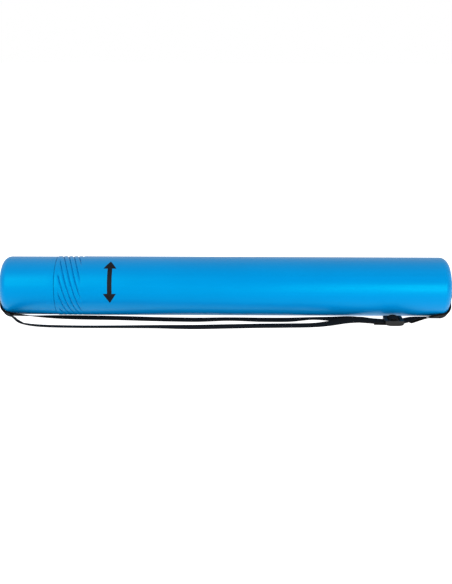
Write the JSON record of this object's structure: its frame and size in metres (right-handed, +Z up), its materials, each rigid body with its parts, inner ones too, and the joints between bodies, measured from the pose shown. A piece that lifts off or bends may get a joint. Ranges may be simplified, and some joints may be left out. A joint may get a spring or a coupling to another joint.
{
  "type": "rod case",
  "caption": "Telescopic round hard tube case lying on its side, with a twisting pull-out head, helical grip flutes behind the mouth, and a webbing shoulder strap with a slide adjuster.",
  "frame": {"origin": "on the surface the case lies on, under the middle of the tube", "axes": "+X along the tube towards its closed base, +Y to the back, away from the strap, +Z up"},
  "size_m": [0.697, 0.123, 0.09],
  "materials": {
    "blue_plastic": "satin moulded polyethylene",
    "inner_plastic": "satin moulded polyethylene, lightly rubbed",
    "black_plastic": "satin",
    "webbing": "woven"
  },
  "bodies": {
    "outer_tube": {"outer_tube": "blue_plastic", "base_lug": "blue_plastic", "base_lug_clip": "black_plastic", "strap_loop": "webbing", "strap_middle_upper": "webbing", "strap_middle_lower": "webbing", "strap_sewn_end": "webbing", "strap_running": "webbing", "strap_tail": "webbing"},
    "head_lug": {"head_lug": "blue_plastic", "head_lug_clip": "black_plastic"},
    "head": {"head_cap": "blue_plastic", "inner_tube": "inner_plastic"},
    "adjuster": {"adjuster": "black_plastic"}
  },
  "joints": [
    {"name": "head_slide", "type": "slide", "parent": "outer_tube", "child": "head_lug", "axis": [-1, 0, 0], "range_m": [0, 0.52], "deforming": ["strap_loop"]},
    {"name": "head_twist", "type": "hinge", "parent": "head_lug", "child": "head", "pos_m": [-0.338, 0, 0.045], "axis": [1, 0, 0], "continuous": true},
    {"name": "adjuster_slide", "type": "slide", "parent": "outer_tube", "child": "adjuster", "axis": [-1, 0, 0], "range_m": [0, 0.09], "deforming": ["strap_sewn_end", "strap_running", "strap_tail"]}
  ]
}
